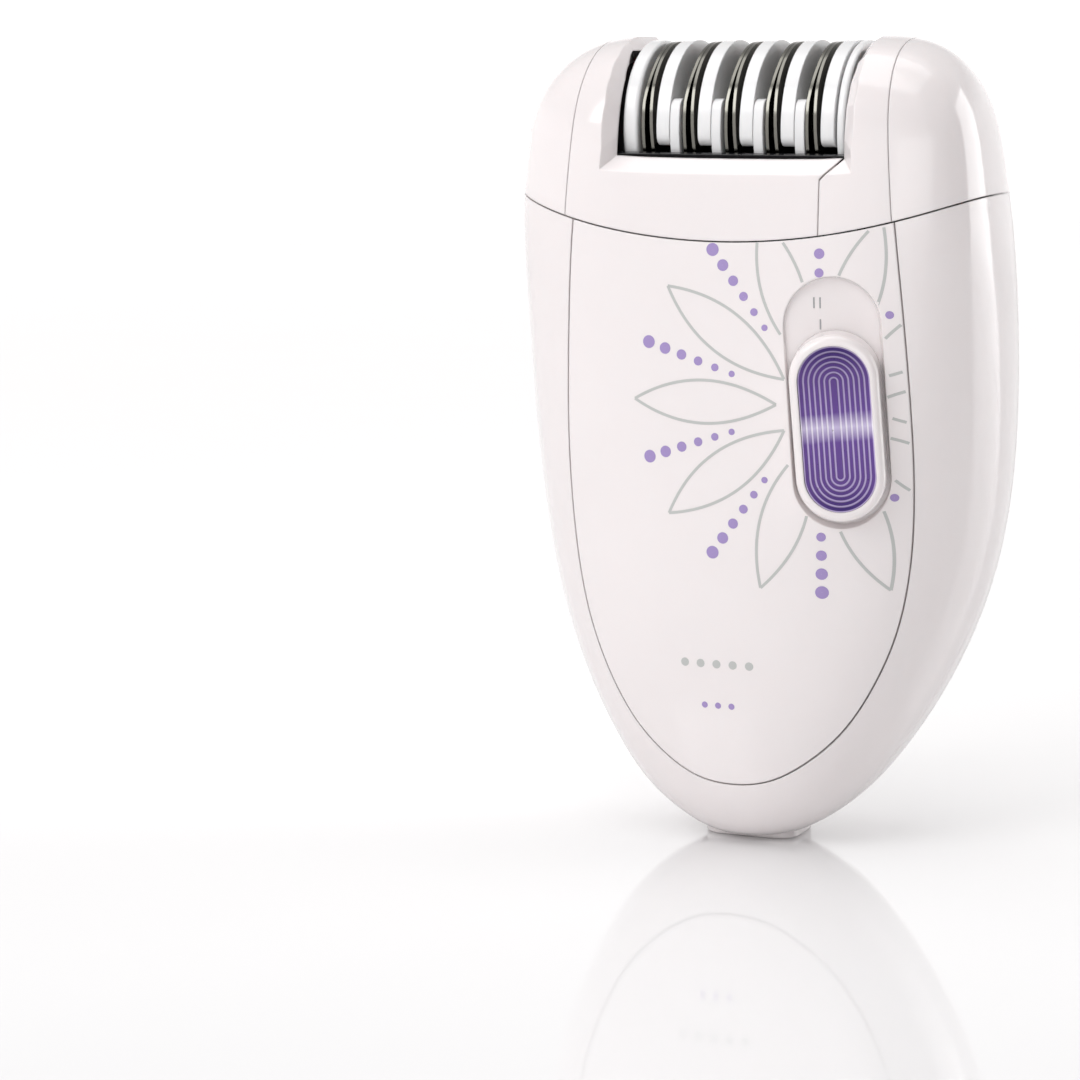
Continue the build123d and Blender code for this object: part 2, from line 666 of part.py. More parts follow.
with BuildPart() as switch_stem:
    add(racetrack(STEM_LENGTH, STEM_WIDTH, -STEM_DEPTH, BUTTON_LIFT))
switch_stem.part.label = "switch_stem"

with BuildPart() as slide_switch_body:
    with BuildSketch(SWITCH_FLOOR.offset(-SWITCH_BODY_BACK)):
        with Locations((0, SWITCH_TRAVEL / 2)):
            Rectangle(*SWITCH_BODY_SIZE)
    extrude(amount=SWITCH_BODY_BACK - TUB_WALL - 0.4)
    add(stem_slot, mode=Mode.SUBTRACT)
slide_switch_body.part.label = "slide_switch_body"

with BuildPart() as switch_board:
    with BuildSketch(SWITCH_FLOOR.offset(-SWITCH_BODY_BACK - BOARD_THICKNESS)):
        with Locations(SWITCH_BOARD_SHIFT):
            RectangleRounded(*SWITCH_BOARD_SIZE, 1)
            with GridLocations(*SWITCH_BOARD_HOLES, 2, 2):
                Circle(0.8, mode=Mode.SUBTRACT)
    extrude(amount=BOARD_THICKNESS)
switch_board.part.label = "switch_board"

# ---- foot, inlet and electrics ------------------------------------------------------
with BuildPart() as inlet_socket:
    with BuildSketch():
        RectangleRounded(FOOT_X, FOOT_Y, 3.2)
    extrude(amount=FOOT_HEIGHT)
    fillet(inlet_socket.faces().sort_by(Axis.Z)[0].edges(), 0.4)
    with BuildSketch():
        RectangleRounded(SOCKET_X, SOCKET_Y, 1.4)
    extrude(amount=SOCKET_TOP)
    with BuildSketch():
        RectangleRounded(PLUG_HOLE_X, PLUG_HOLE_Y, 1.6)
    extrude(amount=PLUG_HOLE_DEPTH, mode=Mode.SUBTRACT)
    for x in (-PIN_PITCH / 2, PIN_PITCH / 2):
        add(post(x, 0, PIN_RADIUS, (PIN_TIP, SOCKET_TOP + 1)), mode=Mode.SUBTRACT)
inlet_socket.part.label = "inlet_socket"

with BuildPart() as inlet_pins:
    for x in (-PIN_PITCH / 2, PIN_PITCH / 2):
        add(post(x, 0, PIN_RADIUS, (PIN_TIP, PIN_TAIL)))
        with Locations((x, 0, PIN_TIP)):
            Sphere(PIN_RADIUS)
inlet_pins.part.label = "inlet_pins"

with BuildPart() as power_board:
    with BuildSketch(Plane.XZ.offset(-BOARD_Y)):
        with Locations((0, BOARD_CENTRE_Z)):
            RectangleRounded(*BOARD_SIZE, 1.5)
        with Locations(*BOARD_SCREWS):
            Circle(BOARD_SCREW_RADIUS + 0.05, mode=Mode.SUBTRACT)
    extrude(amount=-BOARD_THICKNESS)
power_board.part.label = "power_board"

with BuildPart() as board_screws:
    with BuildSketch(Plane.XZ.offset(-BOARD_Y)):
        with Locations(*BOARD_SCREWS):
            Circle(BOARD_SCREW_HEAD_RADIUS)
    extrude(amount=BOARD_SCREW_HEAD)
    with BuildSketch(Plane.XZ.offset(-BOARD_Y)):
        with Locations(*BOARD_SCREWS):
            Circle(BOARD_SCREW_RADIUS)
    extrude(amount=-BOARD_THICKNESS)
board_screws.part.label = "board_screws"

with BuildPart() as choke_coils:
    for x in COIL_X:
        for radius, low, high in (COIL_CORE, COIL_WINDING):
            add(post(x, BOARD_Y - COIL_WINDING[0], radius, (low, high)))
choke_coils.part.label = "choke_coils"

with BuildPart() as filter_capacitor:
    add(post(CAPACITOR_X, BOARD_Y - CAPACITOR[0], CAPACITOR[0], CAPACITOR[1:]))
    fillet(filter_capacitor.edges().filter_by(GeomType.CIRCLE), 0.5)
filter_capacitor.part.label = "filter_capacitor"

with BuildPart() as inlet_leads:
    for side in (-1, 1):
        x = side * PIN_PITCH / 2
        add(lead([(x, 0, PIN_TAIL + 0.2), (x, 0.05, PIN_TAIL + 1.0), (3 * side, BOARD_Y - 0.9, 19.5),
                  (3.2 * side, BOARD_Y - 0.8, 20.6)], LEAD_RADIUS))
inlet_leads.part.label = "inlet_leads"

with BuildPart() as motor_leads:
    for side in (-1, 1):
        add(lead([(5.5 * side, BOARD_Y - 0.8, 33), (5.5 * side, BOARD_Y - 1.2, 35),
                  (6.6 * side, 0.6, 37.0), (7 * side, 0, 38.6)], LEAD_RADIUS))
motor_leads.part.label = "motor_leads"

# ---- motor --------------------------------------------------------------------------
with BuildPart() as motor_can:
    add(post(0, 0, MOTOR_RADIUS, (MOTOR_Z[0] + MOTOR_CAP_HEIGHT, MOTOR_Z[1])))
    fillet(motor_can.faces().sort_by(Axis.Z)[-1].edges(), 1.2)
    add(post(0, 0, 3.0, (MOTOR_Z[1], MOTOR_Z[1] + 1)))
    add(post(0, 0, MOTOR_RADIUS - MOTOR_WALL, (MOTOR_Z[0], MOTOR_Z[1] - 1.0)), mode=Mode.SUBTRACT)
    add(post(0, 0, MOTOR_SHAFT_RADIUS + RUNNING_CLEARANCE, (60, 80)), mode=Mode.SUBTRACT)
motor_can.part.label = "motor_can"

with BuildPart() as motor_end_cap:
    add(post(0, 0, MOTOR_RADIUS, (MOTOR_Z[0], MOTOR_Z[0] + MOTOR_CAP_HEIGHT)))
    add(post(0, 0, MOTOR_RADIUS - MOTOR_WALL, (MOTOR_Z[0] + MOTOR_CAP_HEIGHT, MOTOR_Z[0] + 4.5)))
    add(post(0, 0, MOTOR_RADIUS - 2.5, (MOTOR_Z[0] + 1.5, MOTOR_Z[0] + 5)), mode=Mode.SUBTRACT)
    add(post(0, 0, 2.6, (MOTOR_Z[0], MOTOR_Z[0] + 2.5)))
    add(post(0, 0, MOTOR_SHAFT_RADIUS + RUNNING_CLEARANCE, (MOTOR_Z[0] + 0.8, 50)),
        mode=Mode.SUBTRACT)
motor_end_cap.part.label = "motor_end_cap"

with BuildPart() as motor_terminals:
    for x in TERMINAL_X:
        add(block((x - 1.1, x + 1.1), (-0.25, 0.25), (MOTOR_Z[0] - TERMINAL_LENGTH, MOTOR_Z[0])))
motor_terminals.part.label = "motor_terminals"

with BuildPart() as motor_magnets:
    add(post(0, 0, MOTOR_RADIUS - MOTOR_WALL, (MOTOR_Z[0] + 7, MOTOR_Z[1] - 4)))
    add(post(0, 0, MAGNET_INNER, (MOTOR_Z[0], MOTOR_Z[1])), mode=Mode.SUBTRACT)
    with Locations((0, 0, sum(MOTOR_Z) / 2)):
        Box(30, MAGNET_GAP, 40, mode=Mode.SUBTRACT)
motor_magnets.part.label = "motor_magnets"

with BuildPart() as motor_rings:
    for ring_z in MOTOR_RING_Z:
        add(post(0, 0, MOTOR_RING_OUTER, (ring_z - 1, ring_z + 1)))
        add(post(0, 0, MOTOR_RADIUS, (ring_z - 1, ring_z + 1)), mode=Mode.SUBTRACT)
motor_rings.part.label = "motor_rings"

with BuildPart() as motor_shaft:
    add(post(0, 0, MOTOR_SHAFT_RADIUS, (MOTOR_Z[0] + 1, PINION_Z[1] + 0.2)))
motor_shaft.part.label = "motor_shaft"

with BuildPart() as motor_armature:
    armature_z = (MOTOR_Z[0] + 8, MOTOR_Z[1] - 5)
    add(post(0, 0, ARMATURE_RADIUS, armature_z))
    with PolarLocations(ARMATURE_RADIUS - 0.7, ARMATURE_SLOTS):
        with Locations((0, 0, sum(armature_z) / 2)):
            Box(4, 2, 40, mode=Mode.SUBTRACT)
    add(post(0, 0, COMMUTATOR_RADIUS, (MOTOR_Z[0] + 5.2, MOTOR_Z[0] + 8)))
    add(post(0, 0, MOTOR_SHAFT_RADIUS, (40, 80)), mode=Mode.SUBTRACT)
motor_armature.part.label = "motor_armature"

pinion_profile = gear_outline(MOTOR_TEETH, CROWN_MODULE * MOTOR_TEETH / 2,
                              180 / MOTOR_TEETH, 0.3, 0.55, 0.62, 0.3)
with BuildPart() as motor_pinion:
    with BuildSketch(Plane.XY.offset(PINION_Z[0])):
        add(pinion_profile)
        Circle(MOTOR_SHAFT_RADIUS, mode=Mode.SUBTRACT)
    extrude(amount=PINION_Z[1] - PINION_Z[0])
motor_pinion.part.label = "motor_pinion"

with BuildPart() as shaft_seal:
    add(post(0, 0, SEAL_RADIUS, WELL_FLOOR))
    add(post(0, 0, MOTOR_SHAFT_RADIUS + 0.15, (70, 80)), mode=Mode.SUBTRACT)
shaft_seal.part.label = "shaft_seal"

# ---- head release -------------------------------------------------------------------
with BuildPart() as release_button:
    with BuildSketch(Plane.XZ.offset(-RELEASE_OUT_Y)):
        with Locations((0, RELEASE_Z)):
            RectangleRounded(RELEASE_WIDTH, RELEASE_HEIGHT, 3.2)
    extrude(amount=RELEASE_OUT_Y - RELEASE_IN_Y)
    fillet(release_button.faces().sort_by(Axis.Y)[-1].edges(), 0.7)
    for step in range(-2, 3):
        with Locations((step * RELEASE_RIB_PITCH, RELEASE_OUT_Y, RELEASE_Z)):
            Box(*RELEASE_RIB, mode=Mode.SUBTRACT)
    add(block((-8.6, 8.6), (16.0, RELEASE_IN_Y), (RELEASE_Z - 4.6, RELEASE_Z + 4.0)))
    add(block((-3, 3), (14.2, 16.0), (79.0, 80.4)))
release_button.part.label = "release_button"

with BuildPart() as release_spring:
    spring_start = WELL_HALF_Y + WELL_WALL + 0.3
    with BuildLine() as coil:
        Helix(SPRING_PITCH, 16.0 - 0.3 - spring_start, SPRING_RADIUS, center=(0, spring_start, RELEASE_Z + 0.4),
              direction=(0, 1, 0))
    with BuildSketch(Plane(coil.line @ 0, z_dir=coil.line % 0)):
        Circle(SPRING_WIRE_RADIUS)
    sweep(is_frenet=True)
release_spring.part.label = "release_spring"

# ---- head shell ---------------------------------------------------------------------
with BuildPart() as head_cavity:
    add(cavity_form)
    with Locations((0, 0, HEAD_ROOF)):
        Box(100, 60, 10, align=(Align.CENTER, Align.CENTER, Align.MIN), mode=Mode.SUBTRACT)

with BuildPart() as window:
    add(block((-WINDOW_HALF_WIDTH, WINDOW_HALF_WIDTH), (-30, WINDOW_BACK), (WINDOW_SILL, 130)))
    flared = WINDOW_HALF_WIDTH + WINDOW_FLARE
    with BuildSketch(Plane.XZ.offset(-WINDOW_FACE_Y)):
        Polygon((-flared, WINDOW_SILL - SILL_FLARE), (flared, WINDOW_SILL - SILL_FLARE),
                (flared, 130), (-flared, 130), align=None)
    with BuildSketch(Plane.XZ.offset(-WINDOW_THROAT_Y)):
        Polygon((-WINDOW_HALF_WIDTH, WINDOW_SILL), (WINDOW_HALF_WIDTH, WINDOW_SILL),
                (WINDOW_HALF_WIDTH, 130), (-WINDOW_HALF_WIDTH, 130), align=None)
    loft()

with BuildPart() as window_bevels:
    for side in (-1, 1):
        start = Plane.YZ.offset(side * (WINDOW_HALF_WIDTH - 0.3))
        with BuildSketch(start):
            Polygon(*WINDOW_BEVEL, (WINDOW_BACK + 0.3, 140), (-40, 140), (-40, WINDOW_BEVEL[0][1]),
                    align=None)
        extrude(amount=side * (WINDOW_FLARE + 0.9), taper=WINDOW_BEVEL_ANGLE)

sill_outer = WINDOW_SILL - SILL_FLARE
with BuildPart() as mitre_groove:
    with BuildSketch(Plane.XZ):
        Polygon((MITRE_GROOVE_X, sill_outer), (WINDOW_HALF_WIDTH, WINDOW_SILL + 0.2),
                (WINDOW_HALF_WIDTH + MITRE_GROOVE_WIDTH, WINDOW_SILL - 0.1),
                (MITRE_GROOVE_X + MITRE_GROOVE_WIDTH, sill_outer - 0.2), align=None)
    extrude(amount=REACH)
    with BuildSketch(Plane.YZ.offset(MITRE_GROOVE_X - 1)):
        Polygon((-18.6, sill_outer - 0.6), (-17.4, sill_outer - 0.6), (-14.5, WINDOW_SILL - 0.3),
                (-15.2, WINDOW_SILL + 0.4), align=None)
    extrude(amount=6, mode=Mode.INTERSECT)
    add(block((MITRE_GROOVE_X, MITRE_GROOVE_X + MITRE_GROOVE_WIDTH), (-30, -17.2),
              (70, sill_outer + 0.1)))

with BuildPart() as head_cover:
    add(outer)
    add(head_drum, mode=Mode.INTERSECT)
    add(cover_wedge(0), mode=Mode.INTERSECT)
    add(head_cavity.part, mode=Mode.SUBTRACT)
    for x, y in COVER_BOSSES:
        add(post(x, y, COVER_BOSS_RADIUS, (BASE_Z[1], COVER_BOSS_TOP)))
        wall_y = (y, y + 4.5) if y > 0 else (y - 3.4, y)
        add(block((x - 0.6, x + 0.6), wall_y, (BASE_Z[1], COVER_BOSS_TOP)))
        add(post(x, y, HEAD_SCREW[1], (80, COVER_BOSS_TOP - 0.6)), mode=Mode.SUBTRACT)
    add(window.part, mode=Mode.SUBTRACT)
    add(window_bevels.part, mode=Mode.SUBTRACT)
    add(mitre_groove.part, mode=Mode.SUBTRACT)
head_cover.part.label = "head_cover"

with BuildPart() as cap_hollow:
    add(head_cavity.part)
    add(cover_wedge(CAP_GAP + CAP_WEB), mode=Mode.SUBTRACT)

side_caps = []
for side in (-1, 1):
    with BuildPart() as cap:
        add(outer)
        add(head_drum, mode=Mode.INTERSECT)
        add(block((0, side * 50) if side > 0 else (-50, 0), (-40, 40), (60, 120)), mode=Mode.INTERSECT)
        add(cover_wedge(CAP_GAP), mode=Mode.SUBTRACT)
        add(cap_hollow.part, mode=Mode.SUBTRACT)
    side_caps.append(cap.part)
head_side_cap_left = side_caps[0]
head_side_cap_left.label = "head_side_cap_left"
head_side_cap_right = side_caps[1]
head_side_cap_right.label = "head_side_cap_right"

# ---- head frame and train -----------------------------------------------------------
frame_limit = envelope(WALL + 0.2, CAVITY_FIRST_STATION)
with BuildPart() as base_plate:
    add(block((LEFT_WALL_X[0], OUTER_WALL_X[1]), (-15.4, 15.2), BASE_Z))
    add(frame_limit, mode=Mode.INTERSECT)

with BuildPart() as head_frame:
    add(base_plate.part)
    add(frame_wall(LEFT_WALL_X, 9, BASE_Z[0]))
    add(frame_wall(INNER_WALL_X, 8, TAB_BOTTOM))
    add(frame_wall(OUTER_WALL_X, 5, TAB_BOTTOM))
    add(block((-7.5, -5.0), (-3, 3), (TAB_BOTTOM + 0.5, BASE_Z[0])))
    add(block((8.5, 11.0), (-3, 3), (TAB_BOTTOM + 0.5, BASE_Z[0])))
    add(block((-4, 4), LEG_Y, (LEG_BOTTOM, BASE_Z[0])))
    add(post(PEG_X, 0, 2.0, (78.5, BASE_Z[0])))
    add(block((1.4, 5.6), (-5.3, 5.3), (84, 89)), mode=Mode.SUBTRACT)
    add(block((INNER_WALL_X[1], OUTER_WALL_X[0]), (-5.6, 12.4), (84, 89)), mode=Mode.SUBTRACT)
    add(bar_x(ROTOR_Y, ROTOR_Z, BUSH_RADIUS, (-20, 23)), mode=Mode.SUBTRACT)
    add(bar_x(0, CROSS_SHAFT_Z, CROSS_SHAFT_RADIUS + RUNNING_CLEARANCE, (-9, 23)),
        mode=Mode.SUBTRACT)
    add(bar_x(*idler_centre, IDLER_AXLE_RADIUS, (16, 23)), mode=Mode.SUBTRACT)
    for x, y in COVER_BOSSES:
        add(post(x, y, 1.0, (80, 90)), mode=Mode.SUBTRACT)
head_frame.part.label = "head_frame"

with BuildPart() as head_screws:
    for x, y in COVER_BOSSES:
        add(pan_screw(x, y, BASE_Z[0], *HEAD_SCREW, up=False))
head_screws.part.label = "head_screws"

with BuildPart() as rotor_bushes:
    for span in (LEFT_WALL_X, INNER_WALL_X, OUTER_WALL_X):
        add(bar_x(ROTOR_Y, ROTOR_Z, BUSH_RADIUS, span))
        add(bar_x(ROTOR_Y, ROTOR_Z, ROTOR_SHAFT_RADIUS + RUNNING_CLEARANCE, span),
            mode=Mode.SUBTRACT)
rotor_bushes.part.label = "rotor_bushes"

with BuildPart() as idler_axle:
    add(bar_x(*idler_centre, IDLER_AXLE_RADIUS, (INNER_WALL_X[0], OUTER_WALL_X[1])))
idler_axle.part.label = "idler_axle"

with BuildPart() as debris_tray:
    with BuildSketch(Plane.YZ.offset(LEFT_WALL_X[1])):
        with Locations(rotor_centre):
            Circle(TRAY_OUTER)
            Circle(TRAY_INNER, mode=Mode.SUBTRACT)
            Polygon((0, 0), (-15, -4.2), (-30, -8.4), (-30, 30), (30, 30), (30, -5.3), (15, -2.65),
                    align=None, mode=Mode.SUBTRACT)
    extrude(amount=INNER_WALL_X[0] - LEFT_WALL_X[1])
debris_tray.part.label = "debris_tray"

with BuildPart() as idler_gear:
    add(spur_gear(IDLER_TEETH, idler_centre, idler_phase,
                  IDLER_AXLE_RADIUS + RUNNING_CLEARANCE, GEAR_X))
idler_gear.part.label = "idler_gear"

with BuildPart() as drive_pinion:
    add(spur_gear(DRIVE_TEETH, drive_centre, DRIVE_PHASE, CROSS_SHAFT_RADIUS, GEAR_X))
drive_pinion.part.label = "drive_pinion"

with BuildPart() as cross_shaft:
    add(bar_x(*drive_centre, CROSS_SHAFT_RADIUS, CROSS_SHAFT))
cross_shaft.part.label = "cross_shaft"

with BuildPart() as crown_gear:
    add(bar_x(*drive_centre, CROWN_TOOTH_OUTER, (CROWN_FACE_X, CROWN_BACK_X)))
    add(bar_x(*drive_centre, 2.2, (CROWN_BACK_X, CROWN_BACK_X + 1.5)))
    with BuildSketch(Plane.YZ.offset(CROWN_TIP_X)):
        with Locations(drive_centre):
            with PolarLocations(0, CROWN_TEETH, start_angle=270):
                with Locations(((CROWN_TOOTH_INNER + CROWN_TOOTH_OUTER) / 2, 0)):
                    Rectangle(CROWN_TOOTH_OUTER - CROWN_TOOTH_INNER - 0.04, CROWN_TOOTH_WIDTH)
    extrude(amount=CROWN_FACE_X - CROWN_TIP_X)
    add(bar_x(*drive_centre, CROSS_SHAFT_RADIUS, (0, 10)), mode=Mode.SUBTRACT)
crown_gear.part.label = "crown_gear"

# ---- epilating cylinder -------------------------------------------------------------
with BuildPart() as rotor_shaft:
    add(bar_x(*rotor_centre, ROTOR_SHAFT_RADIUS, ROTOR_SHAFT))
rotor_shaft.part.label = "rotor_shaft"

with BuildPart() as rotor_gear:
    add(spur_gear(ROTOR_TEETH, rotor_centre, rotor_phase, ROTOR_SHAFT_RADIUS, GEAR_X))
rotor_gear.part.label = "rotor_gear"

with BuildPart() as rotor_core:
    add(bar_x(*rotor_centre, CORE_RADIUS, (LEFT_FLANGE[1], RIGHT_FLANGE[0])))
    add(bar_x(*rotor_centre, ROTOR_SHAFT_RADIUS, (-20, 20)), mode=Mode.SUBTRACT)
rotor_core.part.label = "rotor_core"

with BuildPart() as end_flanges:
    for span in (LEFT_FLANGE, RIGHT_FLANGE):
        add(bar_x(*rotor_centre, ROTOR_RADIUS, span))
    fillet(end_flanges.edges().filter_by(GeomType.CIRCLE), 0.5)
    add(bar_x(*rotor_centre, ROTOR_SHAFT_RADIUS, (-20, 20)), mode=Mode.SUBTRACT)
end_flanges.part.label = "end_flanges"

with BuildPart() as white_ribs_upper:
    for start in RIB_STARTS:
        add(rib_prism(UPPER_RIB_SECTOR, start, UPPER_RIB_WIDTH))
white_ribs_upper.part.label = "white_ribs_upper"

with BuildPart() as white_ribs_lower:
    for start in RIB_STARTS[:-1]:
        add(rib_prism(LOWER_RIB_SECTOR, start + LOWER_RIB_OFFSET, LOWER_RIB_WIDTH))
white_ribs_lower.part.label = "white_ribs_lower"

with BuildPart() as tweezer_discs:
    for start in RIB_STARTS:
        add(bent_disc(LEFT_DISC_BEND, start))
        add(bent_disc(RIGHT_DISC_BEND, start))
tweezer_discs.part.label = "tweezer_discs"

# ---- one STEP file per sub-part -----------------------------------------------------
os.makedirs("parts", exist_ok=True)
export_step(front_housing.part, "parts/front_housing.step")
export_step(rear_housing.part, "parts/rear_housing.step")
export_step(front_panel.part, "parts/front_panel.step")
export_step(top_deck.part, "parts/top_deck.step")
export_step(deck_screws.part, "parts/deck_screws.step")
export_step(switch_button.part, "parts/switch_button.step")
export_step(switch_insert.part, "parts/switch_insert.step")
export_step(switch_stem.part, "parts/switch_stem.step")
export_step(slide_switch_body.part, "parts/slide_switch_body.step")
export_step(switch_board.part, "parts/switch_board.step")
export_step(inlet_socket.part, "parts/inlet_socket.step")
export_step(inlet_pins.part, "parts/inlet_pins.step")
export_step(power_board.part, "parts/power_board.step")
export_step(board_screws.part, "parts/board_screws.step")
export_step(choke_coils.part, "parts/choke_coils.step")
export_step(filter_capacitor.part, "parts/filter_capacitor.step")
export_step(inlet_leads.part, "parts/inlet_leads.step")
export_step(motor_leads.part, "parts/motor_leads.step")
export_step(motor_can.part, "parts/motor_can.step")
export_step(motor_end_cap.part, "parts/motor_end_cap.step")
export_step(motor_terminals.part, "parts/motor_terminals.step")
export_step(motor_magnets.part, "parts/motor_magnets.step")
export_step(motor_rings.part, "parts/motor_rings.step")
export_step(motor_shaft.part, "parts/motor_shaft.step")
export_step(motor_armature.part, "parts/motor_armature.step")
export_step(motor_pinion.part, "parts/motor_pinion.step")
export_step(shaft_seal.part, "parts/shaft_seal.step")
export_step(release_button.part, "parts/release_button.step")
export_step(release_spring.part, "parts/release_spring.step")
export_step(head_cover.part, "parts/head_cover.step")
export_step(head_side_cap_left, "parts/head_side_cap_left.step")
export_step(head_side_cap_right, "parts/head_side_cap_right.step")
export_step(head_frame.part, "parts/head_frame.step")
export_step(head_screws.part, "parts/head_screws.step")
export_step(rotor_bushes.part, "parts/rotor_bushes.step")
export_step(idler_axle.part, "parts/idler_axle.step")
export_step(debris_tray.part, "parts/debris_tray.step")
export_step(idler_gear.part, "parts/idler_gear.step")
export_step(drive_pinion.part, "parts/drive_pinion.step")
export_step(cross_shaft.part, "parts/cross_shaft.step")
export_step(crown_gear.part, "parts/crown_gear.step")
export_step(rotor_shaft.part, "parts/rotor_shaft.step")
export_step(rotor_gear.part, "parts/rotor_gear.step")
export_step(rotor_core.part, "parts/rotor_core.step")
export_step(end_flanges.part, "parts/end_flanges.step")
export_step(white_ribs_upper.part, "parts/white_ribs_upper.step")
export_step(white_ribs_lower.part, "parts/white_ribs_lower.step")
export_step(tweezer_discs.part, "parts/tweezer_discs.step")
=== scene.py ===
"""Looks of the palm epilator: materials, printed decoration, studio and camera."""
import json
from math import cos, hypot, pi, radians, sin

import bmesh
import bpy
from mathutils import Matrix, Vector
from mathutils.bvhtree import BVHTree


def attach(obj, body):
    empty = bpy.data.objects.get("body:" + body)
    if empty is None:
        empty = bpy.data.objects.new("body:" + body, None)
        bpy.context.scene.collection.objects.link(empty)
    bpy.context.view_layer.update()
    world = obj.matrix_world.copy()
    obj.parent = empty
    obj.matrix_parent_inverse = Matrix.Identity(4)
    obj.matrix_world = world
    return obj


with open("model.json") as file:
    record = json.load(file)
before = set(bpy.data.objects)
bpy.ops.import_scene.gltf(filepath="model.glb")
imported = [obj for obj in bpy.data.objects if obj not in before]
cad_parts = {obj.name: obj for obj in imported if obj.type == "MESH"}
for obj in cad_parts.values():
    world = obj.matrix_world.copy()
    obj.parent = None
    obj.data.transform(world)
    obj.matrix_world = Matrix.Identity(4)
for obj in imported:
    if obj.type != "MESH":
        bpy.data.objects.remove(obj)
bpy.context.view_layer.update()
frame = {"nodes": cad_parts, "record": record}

MM = 0.001

# ---- colours, linear -----------------------------------------------------------------
WARM_WHITE = (0.85, 0.80, 0.80)
PANEL_WHITE = (0.86, 0.81, 0.81)
RIB_WHITE = (0.83, 0.83, 0.835)
LILAC = (0.36, 0.27, 0.55)
PRINT_GREY = (0.52, 0.53, 0.52)
MARK_GREY = (0.35, 0.35, 0.36)
# dark purple at both ends of the switch insert: painted shade
PAINTED_SHADE_PURPLE = (0.035, 0.014, 0.13)
PURPLE_FIELD = (0.105, 0.052, 0.23)
PURPLE_LINES = (0.56, 0.46, 0.74)
# pale lilac field and near-white lines of the band across the switch insert: painted highlight
PAINTED_HIGHLIGHT_PURPLE = (0.56, 0.49, 0.70)
PAINTED_HIGHLIGHT_LINES = (0.97, 0.95, 1.0)
BLACK = (0.012, 0.012, 0.014)


# ---- material helpers ----------------------------------------------------------------
def new_material(name):
    """Empty node material with its Principled shader and object coordinates."""
    material = bpy.data.materials.new(name)
    material.use_nodes = True
    nodes = material.node_tree.nodes
    nodes.clear()
    output = nodes.new("ShaderNodeOutputMaterial")
    shader = nodes.new("ShaderNodeBsdfPrincipled")
    place = nodes.new("ShaderNodeTexCoord")
    material.node_tree.links.new(shader.outputs[0], output.inputs[0])
    return material, nodes, material.node_tree.links, shader, place.outputs["Object"]


def noise(nodes, links, place, scale, detail=3.0, stretch=(1, 1, 1)):
    """Noise in object space, stretched along the axes."""
    mapping = nodes.new("ShaderNodeMapping")
    mapping.inputs["Scale"].default_value = stretch
    texture = nodes.new("ShaderNodeTexNoise")
    texture.inputs["Scale"].default_value = scale
    texture.inputs["Detail"].default_value = detail
    links.new(place, mapping.inputs["Vector"])
    links.new(mapping.outputs[0], texture.inputs["Vector"])
    return texture.outputs["Fac"]


def ramp(nodes, links, value, stops):
    """Colour ramp through (position, colour) stops."""
    node = nodes.new("ShaderNodeValToRGB")
    elements = node.color_ramp.elements
    while len(elements) < len(stops):
        elements.new(0.5)
    for element, (position, colour) in zip(elements, stops):
        element.position = position
        element.color = (*colour, 1)
    links.new(value, node.inputs[0])
    return node.outputs[0]


def shade(colour, factor):
    """Colour made lighter or darker."""
    return tuple(min(1.0, channel * factor) for channel in colour)


def surface(name, colour, rough, metal=0.0, coat=0.0, mottle=45.0, tint=0.03, rough_spread=0.2,
            grain=1400.0, grain_height=0.004, ripple=0.0, edge=0.0, stretch=(1, 1, 1),
            specular=0.5, scatter=0.0):
    """General finish: mottled colour and gloss, fine grain, soft edges."""
    material, nodes, links, shader, place = new_material(name)
    blotch = noise(nodes, links, place, mottle, stretch=stretch)
    tone = ramp(nodes, links, blotch, [(0.25, shade(colour, 1 - tint)), (0.75, shade(colour, 1 + tint))])
    links.new(tone, shader.inputs["Base Color"])
    spread = nodes.new("ShaderNodeMapRange")
    spread.inputs["To Min"].default_value = rough * (1 - rough_spread)
    spread.inputs["To Max"].default_value = rough * (1 + rough_spread)
    fine = noise(nodes, links, place, grain, stretch=stretch)
    links.new(noise(nodes, links, place, mottle * 4, stretch=stretch), spread.inputs["Value"])
    links.new(spread.outputs[0], shader.inputs["Roughness"])
    bump = nodes.new("ShaderNodeBump")
    bump.inputs["Strength"].default_value = 1.0
    bump.inputs["Distance"].default_value = grain_height * MM
    links.new(fine, bump.inputs["Height"])
    if edge:
        bevel = nodes.new("ShaderNodeBevel")
        bevel.samples = 6
        bevel.inputs["Radius"].default_value = edge * MM
        links.new(bevel.outputs[0], bump.inputs["Normal"])
    last = bump
    if ripple:
        wave = nodes.new("ShaderNodeBump")
        wave.inputs["Strength"].default_value = 1.0
        wave.inputs["Distance"].default_value = ripple * MM
        links.new(noise(nodes, links, place, 220.0, detail=1.0), wave.inputs["Height"])
        links.new(bump.outputs[0], wave.inputs["Normal"])
        last = wave
    links.new(last.outputs[0], shader.inputs["Normal"])
    shader.inputs["Metallic"].default_value = metal
    shader.inputs["Coat Weight"].default_value = coat
    shader.inputs["Coat Roughness"].default_value = 0.06
    shader.inputs["Specular IOR Level"].default_value = specular
    if scatter:
        shader.inputs["Subsurface Weight"].default_value = scatter
        shader.inputs["Subsurface Radius"].default_value = (0.9, 0.75, 0.7)
        shader.inputs["Subsurface Scale"].default_value = 1.2 * MM
    return material


def body_plastic(name, colour):
    """Gloss moulded ABS with soft edges."""
    return surface(name, colour, 0.14, coat=0.6, tint=0.012, grain_height=0.0015, ripple=0.006,
                   edge=0.35, scatter=0.12)


